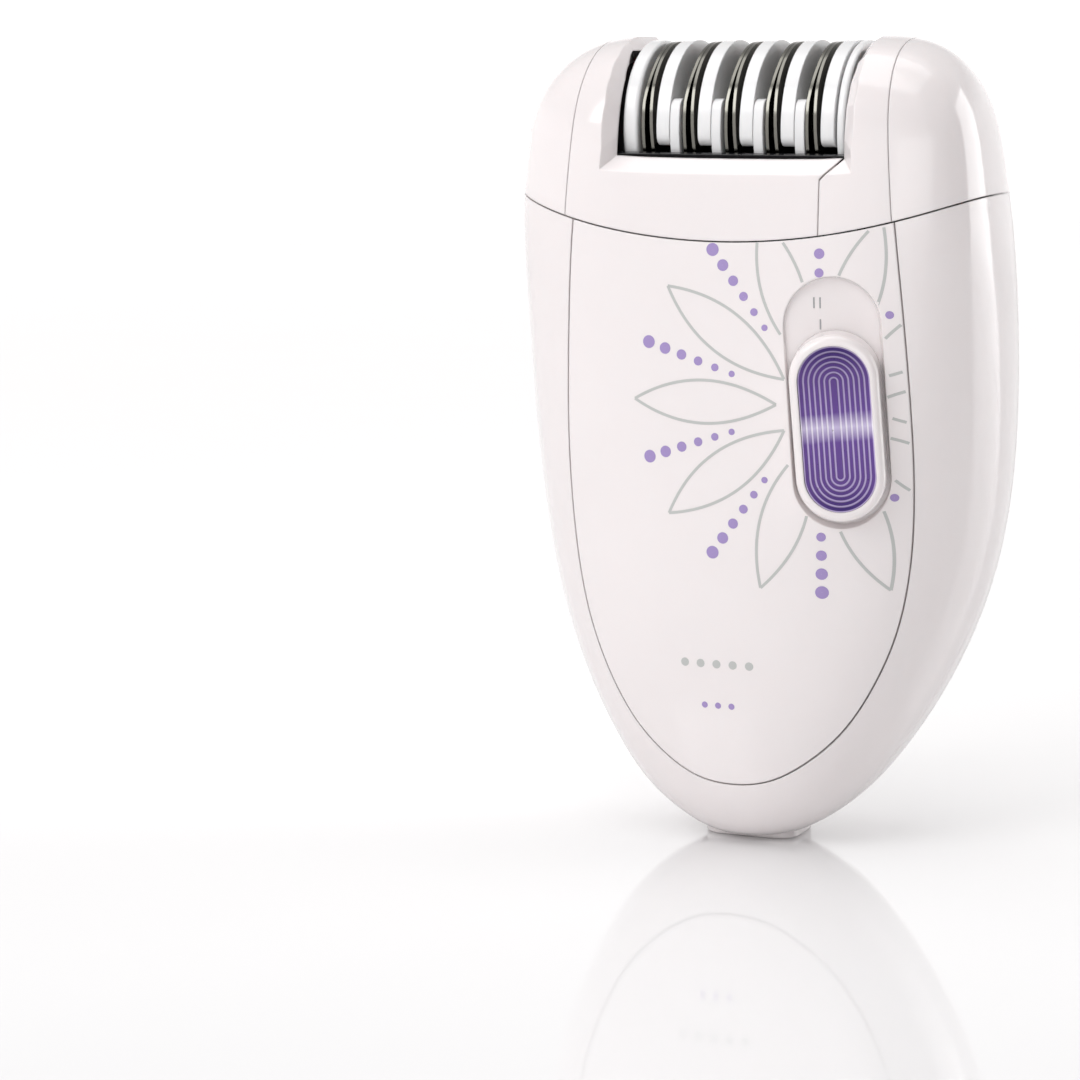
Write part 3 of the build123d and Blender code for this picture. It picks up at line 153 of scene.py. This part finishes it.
# switch plane: a point on the recess floor in millimetres, its side and its up direction
SWITCH_ORIGIN = Vector((16.34, -14.81, 61.32))
SWITCH_SIDE = Vector((0.968389, 0.236256, 0.080041))
SWITCH_UP = next(Vector(joint["axis"]) for joint in frame["record"]["behaviour"]["joints"]
                 if joint["name"] == "switch_slide")
RECESS_SHIFT = 3.2
RECESS_HALF_STRAIGHT = 10.6
RECESS_RIM_RADIUS = 6.8
INSERT_HALF_STRAIGHT = 6.55
INSERT_HALF_LENGTH = 11.5
GROOVE_PITCH = 0.72
GROOVE_FIRST = 0.55
GROOVE_HALF_WIDTH = 0.11


def arithmetic(nodes, links, operation, *values):
    """Math node over sockets and plain numbers."""
    node = nodes.new("ShaderNodeMath")
    node.operation = operation
    for socket, value in zip(node.inputs, values):
        if isinstance(value, (int, float)):
            socket.default_value = value
        else:
            links.new(value, socket)
    return node.outputs[0]


def along_axis(nodes, links, place, axis):
    """Distance of the point from the switch origin along one direction, millimetres."""
    dot = nodes.new("ShaderNodeVectorMath")
    dot.operation = "DOT_PRODUCT"
    dot.inputs[1].default_value = axis / MM
    links.new(place, dot.inputs[0])
    return arithmetic(nodes, links, "SUBTRACT", dot.outputs["Value"], SWITCH_ORIGIN.dot(axis))


def anodised_insert(name):
    """Purple metallised insert with pale racetrack groove lines, painted shade at both ends and a
    painted highlight band across the middle.
    """
    material, nodes, links, shader, place = new_material(name)
    across = along_axis(nodes, links, place, SWITCH_SIDE)
    along = along_axis(nodes, links, place, SWITCH_UP)
    beyond = arithmetic(nodes, links, "SUBTRACT", arithmetic(nodes, links, "ABSOLUTE", along),
                        INSERT_HALF_STRAIGHT)
    beyond = arithmetic(nodes, links, "MAXIMUM", beyond, 0.0)
    squares = arithmetic(nodes, links, "ADD", arithmetic(nodes, links, "MULTIPLY", across, across),
                         arithmetic(nodes, links, "MULTIPLY", beyond, beyond))
    radius = arithmetic(nodes, links, "SQRT", squares)
    from_groove = arithmetic(nodes, links, "SUBTRACT", radius, GROOVE_FIRST)
    nearest = arithmetic(nodes, links, "PINGPONG", from_groove, GROOVE_PITCH / 2)
    line = nodes.new("ShaderNodeMapRange")
    line.interpolation_type = "SMOOTHSTEP"
    line.inputs["From Min"].default_value = GROOVE_HALF_WIDTH + 0.06
    line.inputs["From Max"].default_value = GROOVE_HALF_WIDTH - 0.04
    links.new(nearest, line.inputs["Value"])
    # position along the insert, with a little noise; it places the painted shade at both ends and the
    # painted highlight band across the middle
    wobble = arithmetic(nodes, links, "MULTIPLY", noise(nodes, links, place, 260.0), 0.05)
    share = arithmetic(nodes, links, "DIVIDE", along, 2 * INSERT_HALF_LENGTH)
    share = arithmetic(nodes, links, "ADD", arithmetic(nodes, links, "ADD", share, 0.475), wobble)
    # field colour: painted shade at both ends, lighter towards the middle, and a painted highlight band
    # across it
    field_with_painted_light = ramp(nodes, links, share, [
        (0.0, PAINTED_SHADE_PURPLE), (0.16, PURPLE_FIELD), (0.42, shade(PURPLE_FIELD, 1.2)),
        (0.51, PAINTED_HIGHLIGHT_PURPLE), (0.60, shade(PURPLE_FIELD, 1.2)), (0.84, PURPLE_FIELD),
        (1.0, PAINTED_SHADE_PURPLE)])
    # groove line colour: pale lilac, with the same painted highlight in the band and painted shade
    # towards the ends
    groove_lines_with_painted_light = ramp(nodes, links, share, [
        (0.0, shade(PURPLE_LINES, 0.8)), (0.42, PURPLE_LINES), (0.51, PAINTED_HIGHLIGHT_LINES),
        (0.60, PURPLE_LINES), (1.0, shade(PURPLE_LINES, 0.7))])
    mixed = nodes.new("ShaderNodeMix")
    mixed.data_type = "RGBA"
    links.new(line.outputs[0], mixed.inputs["Factor"])
    links.new(field_with_painted_light, mixed.inputs[6])
    links.new(groove_lines_with_painted_light, mixed.inputs[7])
    links.new(mixed.outputs[2], shader.inputs["Base Color"])
    shader.inputs["Metallic"].default_value = 0.55
    spread = nodes.new("ShaderNodeMapRange")
    spread.inputs["To Min"].default_value = 0.24
    spread.inputs["To Max"].default_value = 0.36
    links.new(noise(nodes, links, place, 900.0), spread.inputs["Value"])
    links.new(spread.outputs[0], shader.inputs["Roughness"])
    bump = nodes.new("ShaderNodeBump")
    bump.inputs["Distance"].default_value = 0.004 * MM
    links.new(noise(nodes, links, place, 2600.0), bump.inputs["Height"])
    links.new(bump.outputs[0], shader.inputs["Normal"])
    return material


def brushed_metal(name, colour, rough, stretch=(1, 1, 1)):
    """Steel with fine drawn lines."""
    return surface(name, colour, rough, metal=1.0, tint=0.10, mottle=120.0, grain=900.0,
                   grain_height=0.010, rough_spread=0.35, stretch=stretch, edge=0.08)


def make_materials():
    """One material for each slot of the record."""
    return {
        "body_abs": body_plastic("body_abs", WARM_WHITE),
        "panel_abs": body_plastic("panel_abs", PANEL_WHITE),
        "switch_white": body_plastic("switch_white", shade(WARM_WHITE, 1.02)),
        "switch_purple": anodised_insert("switch_purple"),
        "deck_plastic": surface("deck_plastic", (0.50, 0.49, 0.51), 0.42, grain_height=0.02, edge=0.2),
        "inner_plastic": surface("inner_plastic", (0.62, 0.61, 0.58), 0.45, grain_height=0.02),
        "black_plastic": surface("black_plastic", BLACK, 0.16, coat=0.5, tint=0.25, edge=0.2,
                                 grain_height=0.006),
        "rib_white": surface("rib_white", RIB_WHITE, 0.2, coat=0.25, tint=0.02, edge=0.3,
                             grain_height=0.003, scatter=0.1),
        "disc_steel": brushed_metal("disc_steel", (0.19, 0.185, 0.165), 0.17, (0.3, 1, 1)),
        "shaft_steel": brushed_metal("shaft_steel", (0.56, 0.56, 0.58), 0.22, (0.1, 1, 1)),
        "can_steel": brushed_metal("can_steel", (0.50, 0.51, 0.53), 0.35, (1, 1, 0.2)),
        "laminated_steel": brushed_metal("laminated_steel", (0.35, 0.35, 0.36), 0.45, (0.2, 0.2, 3)),
        "spring_steel": brushed_metal("spring_steel", (0.55, 0.55, 0.57), 0.28),
        "screw_steel": brushed_metal("screw_steel", (0.46, 0.46, 0.48), 0.34),
        "pin_plated": brushed_metal("pin_plated", (0.75, 0.74, 0.70), 0.15),
        "brass_part": brushed_metal("brass_part", (0.70, 0.50, 0.20), 0.30),
        "gear_acetal": surface("gear_acetal", (0.78, 0.76, 0.69), 0.38, tint=0.03, edge=0.06,
                               scatter=0.2),
        "board_green": surface("board_green", (0.03, 0.16, 0.06), 0.30, tint=0.25, mottle=300.0),
        "copper_wound": surface("copper_wound", (0.60, 0.25, 0.09), 0.32, metal=0.8, tint=0.2,
                                grain=300.0, grain_height=0.15, stretch=(0.05, 0.05, 8)),
        "magnet_ferrite": surface("magnet_ferrite", (0.05, 0.05, 0.055), 0.6, tint=0.3),
        "lead_red": surface("lead_red", (0.42, 0.02, 0.02), 0.4, tint=0.06),
        "seal_rubber": surface("seal_rubber", (0.02, 0.02, 0.02), 0.65, tint=0.2, grain_height=0.03),
    }


def paint_nodes(materials):
    """Gives every CAD node the finish of its record slot."""
    for part in frame["record"]["subparts"]:
        node = frame["nodes"][part["node"]]
        material = materials[part["material_slot"]]
        if not node.material_slots:
            node.data.materials.append(material)
        for slot in node.material_slots:
            slot.material = material


# ---- printed decoration --------------------------------------------------------------
PRINT_LIFT = 0.03 * MM
PRINT_SINK = 0.03 * MM
PRINT_AIM = Vector((0.10, 1.0, 0.0)).normalized()
START_Y = -60 * MM
# a face turned further than this from the aim takes no film
FACING_LIMIT = 0.3
# rows of hits further apart than this lie on different faces
LARGEST_STEP = 3 * MM
DOT_CORE = 0.02


def node_tree(name):
    """Search tree of a CAD node's surface."""
    node = frame["nodes"][name]
    mesh = node.data
    corners = [vertex.co.copy() for vertex in mesh.vertices]
    return BVHTree.FromPolygons(corners, [list(face.vertices) for face in mesh.polygons])


def over_recess(point):
    """Whether a surface point lies inside the rim of the switch recess."""
    offset = point / MM - SWITCH_ORIGIN
    beyond = max(abs(offset.dot(SWITCH_UP) - RECESS_SHIFT) - RECESS_HALF_STRAIGHT, 0)
    return hypot(offset.dot(SWITCH_SIDE), beyond) < RECESS_RIM_RADIUS


class Print:
    """Thin printed film laid on one CAD node, gathered into one mesh."""

    def __init__(self, name, node, material, in_recess=False):
        self.tree = node_tree(node)
        self.in_recess = in_recess
        self.mesh = bmesh.new()
        self.name = name
        self.material = material

    def spot(self, x, z):
        """Surface point and normal straight behind (x, z), or None where no film goes."""
        start = Vector((x * MM, 0, z * MM)) + PRINT_AIM * (START_Y / PRINT_AIM.y)
        point, normal, _, _ = self.tree.ray_cast(start, PRINT_AIM)
        if point is None or normal.dot(PRINT_AIM) > -FACING_LIMIT:
            return None
        if over_recess(point) != self.in_recess:
            return None
        return point, normal

    def prism(self, lifted, closed):
        """Closed film between two rows of surface hits, one each side of the line."""
        count = len(lifted[0])
        rings = []
        for index in range(count):
            left, left_normal = lifted[0][index]
            right, right_normal = lifted[1][index]
            if (left - right).length > LARGEST_STEP:
                return
            rings.append([self.mesh.verts.new(left + left_normal * PRINT_LIFT),
                          self.mesh.verts.new(right + right_normal * PRINT_LIFT),
                          self.mesh.verts.new(right - right_normal * PRINT_SINK),
                          self.mesh.verts.new(left - left_normal * PRINT_SINK)])
        steps = count if closed else count - 1
        for index in range(steps):
            here = rings[index]
            there = rings[(index + 1) % count]
            for side in range(4):
                self.mesh.faces.new((here[side], here[(side + 1) % 4],
                                     there[(side + 1) % 4], there[side]))
        if not closed:
            self.mesh.faces.new(rings[0][::-1])
            self.mesh.faces.new(rings[-1])

    def line(self, points, widths):
        """Film line through the points, as wide as the widths say."""
        left, right = [], []
        for index, (x, z) in enumerate(points):
            before = points[max(index - 1, 0)]
            after = points[min(index + 1, len(points) - 1)]
            run = hypot(after[0] - before[0], after[1] - before[1])
            side_x = -(after[1] - before[1]) / run * widths[index] / 2
            side_z = (after[0] - before[0]) / run * widths[index] / 2
            left.append(self.spot(x + side_x, z + side_z))
            right.append(self.spot(x - side_x, z - side_z))
        run = [[], []]
        for pair in list(zip(left, right)) + [(None, None)]:
            if None not in pair:
                run[0].append(pair[0])
                run[1].append(pair[1])
                continue
            if len(run[0]) > 2:
                self.prism(run, closed=False)
            run = [[], []]

    def bead(self, x, z, radius, steps=20):
        """Round dot."""
        rings = []
        for reach in (radius, DOT_CORE):
            rings.append([self.spot(x + reach * cos(2 * pi * step / steps),
                                    z + reach * sin(2 * pi * step / steps))
                          for step in range(steps)])
        if not any(hit is None for ring in rings for hit in ring):
            self.prism(rings, closed=True)

    def finish(self, body):
        """Makes the object and lets it ride on its body."""
        bmesh.ops.recalc_face_normals(self.mesh, faces=self.mesh.faces)
        data = bpy.data.meshes.new(self.name)
        self.mesh.to_mesh(data)
        self.mesh.free()
        film = bpy.data.objects.new(self.name, data)
        bpy.context.collection.objects.link(film)
        film.data.materials.append(self.material)
        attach(film, body)


def bezier(start, bow, end, count):
    """Points of a quadratic curve from start to end, pulled towards bow."""
    points = []
    for step in range(count):
        t = step / (count - 1)
        near = (1 - t) ** 2
        middle = 2 * t * (1 - t)
        far = t ** 2
        points.append((near * start[0] + middle * bow[0] + far * end[0],
                       near * start[1] + middle * bow[1] + far * end[1]))
    return points


# plain flower: one petal and one bead row, repeated at even turns round a centre (x, z), mm
FLOWER_CENTRE = (16.0, 64.0)
PETAL_COUNT = 10
PETAL_REACH = (6.0, 27.0)
PETAL_BOW = 6.0
PETAL_LINE = 0.4
PETAL_STEPS = 40
BEAD_COUNT = 6
BEAD_REACH = (13.0, 26.0)
BEAD_RADII = (0.45, 0.9)
# rows of round dots as (centre x, z, dots, pitch, radius)
GREY_DOTS = (1.0, 27.0, 5, 2.4, 0.6)
LILAC_DOTS = (1.0, 21.0, 3, 2.0, 0.45)
# strokes for switch positions two and one as (x, low z, high z), and their width
STROKES = [(14.8, 77.3, 78.8), (15.6, 77.3, 78.8), (15.6, 74.4, 75.8)]
STROKE_WIDTH = 0.2


def round_flower(turn, out, aside=0.0):
    """Panel point at a distance out from the flower's centre and aside of that line."""
    return (FLOWER_CENTRE[0] + out * cos(turn) - aside * sin(turn),
            FLOWER_CENTRE[1] + out * sin(turn) + aside * cos(turn))


def dot_row(film, centre, z, count, pitch, radius):
    """Straight row of equal round dots."""
    for index in range(count):
        film.bead(centre + (index - (count - 1) / 2) * pitch, z, radius)


def decorate(materials):
    """Plain flower behind the switch, two rows of dots and the switch strokes."""
    grey = Print("print_petals", "front_panel", materials["print_grey"])
    for petal in range(PETAL_COUNT):
        turn = 2 * pi * petal / PETAL_COUNT
        near, far = (round_flower(turn, reach) for reach in PETAL_REACH)
        for aside in (-PETAL_BOW, PETAL_BOW):
            bow = round_flower(turn, sum(PETAL_REACH) / 2, aside)
            grey.line(bezier(near, bow, far, PETAL_STEPS), [PETAL_LINE] * PETAL_STEPS)
    dot_row(grey, *GREY_DOTS)
    grey.finish("body")

    lilac = Print("print_beads", "front_panel", materials["print_lilac"])
    for row in range(PETAL_COUNT):
        turn = 2 * pi * (row + 0.5) / PETAL_COUNT
        for index in range(BEAD_COUNT):
            share = index / (BEAD_COUNT - 1)
            out = BEAD_REACH[0] + (BEAD_REACH[1] - BEAD_REACH[0]) * share
            radius = BEAD_RADII[0] + (BEAD_RADII[1] - BEAD_RADII[0]) * share
            lilac.bead(*round_flower(turn, out), radius)
    dot_row(lilac, *LILAC_DOTS)
    lilac.finish("body")

    marks = Print("print_marks", "front_panel", materials["print_mark"], in_recess=True)
    for x, low, high in STROKES:
        marks.line([(x, high), (x, (low + high) / 2), (x, low)], [STROKE_WIDTH] * 3)
    marks.finish("body")


# ---- studio --------------------------------------------------------------------------
SKY_STRENGTH = 1.2
# brightness round the horizon, by degrees from -Y towards +X
SKY_RING = [(-180, 1.0), (-100, 0.97), (-60, 1.0), (0, 1.0), (30, 0.9), (50, 0.35), (70, 0.1),
            (103, 0.08), (125, 0.5), (150, 0.95), (180, 1.0)]
# brightness by height above the horizon
SKY_RISE = [(0.0, (1, 1, 1)), (0.22, (1, 1, 1)), (0.42, (0.48, 0.48, 0.48)), (0.80, (0.48, 0.48, 0.48)),
            (0.90, (0.95, 0.95, 0.95)), (1.0, (0.95, 0.95, 0.95))]
# soft lights as (name, place, aim, width, height, watts), metres
LIGHTS = [
    ("key", (-0.45, -0.85, 0.75), (0, 0, 0.06), 0.6, 0.6, 4.0),
    ("fill", (0.5, -0.8, 0.1), (0, 0, 0.04), 0.5, 0.5, 0.7),
    ("rim", (0.819, 0.574, 0.25), (0, 0, 0.08), 0.6, 0.9, 4.2),
    ("top", (0.0, -0.1, 1.1), (0, 0, 0.0), 0.9, 0.9, 3.0),
]
FLOOR_SIZE = 6.0
FLOOR_DROP = 0.02 * MM
# the camera turns about an upright axis through the object, metres and degrees
CAMERA_LENS = 112.3
CAMERA_TURN = 19.5
CAMERA_DISTANCE = 0.485
CAMERA_AXIS_Y = 0.005
CAMERA_HEIGHT = 0.112
AIM_HEIGHT = 0.0414
AIM_ASIDE = 0.034


def add_light(name, place, aim, width, height, power):
    """Soft rectangular light."""
    lamp = bpy.data.lights.new(name, "AREA")
    lamp.shape = "RECTANGLE"
    lamp.size = width
    lamp.size_y = height
    lamp.energy = power
    holder = bpy.data.objects.new(name, lamp)
    bpy.context.collection.objects.link(holder)
    holder.location = place
    holder.rotation_euler = (Vector(aim) - Vector(place)).to_track_quat("-Z", "Y").to_euler()


def make_world():
    """White studio: bright all round the horizon, with one dark flag on the right."""
    world = bpy.data.worlds.new("studio")
    world.use_nodes = True
    bpy.context.scene.world = world
    nodes = world.node_tree.nodes
    links = world.node_tree.links
    nodes.clear()
    output = nodes.new("ShaderNodeOutputWorld")
    place = nodes.new("ShaderNodeTexCoord")
    split = nodes.new("ShaderNodeSeparateXYZ")
    links.new(place.outputs["Generated"], split.inputs[0])
    back = nodes.new("ShaderNodeMath")
    back.operation = "MULTIPLY"
    back.inputs[1].default_value = -1
    links.new(split.outputs["Y"], back.inputs[0])
    around = nodes.new("ShaderNodeMath")
    around.operation = "ARCTAN2"
    links.new(split.outputs["X"], around.inputs[0])
    links.new(back.outputs[0], around.inputs[1])
    turn = nodes.new("ShaderNodeMapRange")
    turn.inputs["From Min"].default_value = -pi
    turn.inputs["From Max"].default_value = pi
    links.new(around.outputs[0], turn.inputs["Value"])
    levels = []
    for angle, level in SKY_RING:
        levels.append(((angle + 180) / 360, (level, level * 0.985, level * 0.985)))
    ring = ramp(nodes, links, turn.outputs[0], levels)
    rise = ramp(nodes, links, split.outputs["Z"], SKY_RISE)
    mixed = nodes.new("ShaderNodeMix")
    mixed.data_type = "RGBA"
    mixed.blend_type = "MULTIPLY"
    mixed.inputs["Factor"].default_value = 1.0
    links.new(ring, mixed.inputs[6])
    links.new(rise, mixed.inputs[7])
    studio = nodes.new("ShaderNodeBackground")
    studio.inputs["Strength"].default_value = SKY_STRENGTH
    links.new(mixed.outputs[2], studio.inputs["Color"])
    links.new(studio.outputs[0], output.inputs[0])


def make_floor():
    """Pale gloss floor."""
    bpy.ops.mesh.primitive_plane_add(size=FLOOR_SIZE, location=(0, 0, -FLOOR_DROP))
    floor = bpy.context.object
    floor.name = "floor"
    floor.data.materials.append(surface("floor_gloss", (0.885, 0.885, 0.89), 0.05, tint=0.01,
                                        grain_height=0.0004, mottle=8.0, specular=0.9))


def make_camera():
    """Camera at the photograph's viewing angle."""
    lens = bpy.data.cameras.new("camera")
    lens.sensor_width = 36.0
    lens.lens = CAMERA_LENS
    lens.clip_start = 0.01
    camera = bpy.data.objects.new("camera", lens)
    bpy.context.collection.objects.link(camera)
    turn = radians(CAMERA_TURN)
    eye = Vector((CAMERA_DISTANCE * sin(turn), CAMERA_AXIS_Y - CAMERA_DISTANCE * cos(turn),
                  CAMERA_HEIGHT))
    aim = Vector((-AIM_ASIDE * cos(turn), CAMERA_AXIS_Y - AIM_ASIDE * sin(turn), AIM_HEIGHT))
    camera.location = eye
    camera.rotation_euler = (aim - eye).to_track_quat("-Z", "Y").to_euler()
    bpy.context.scene.camera = camera


finishes = make_materials()
finishes["print_grey"] = surface("print_grey", PRINT_GREY, 0.25, tint=0.03, grain_height=0.001)
finishes["print_lilac"] = surface("print_lilac", LILAC, 0.25, tint=0.04, grain_height=0.001)
finishes["print_mark"] = surface("print_mark", MARK_GREY, 0.3, tint=0.03, grain_height=0.001)
paint_nodes(finishes)
decorate(finishes)
make_world()
make_floor()
make_camera()
for light in LIGHTS:
    add_light(*light)

bpy.context.scene.view_settings.view_transform = "Standard"
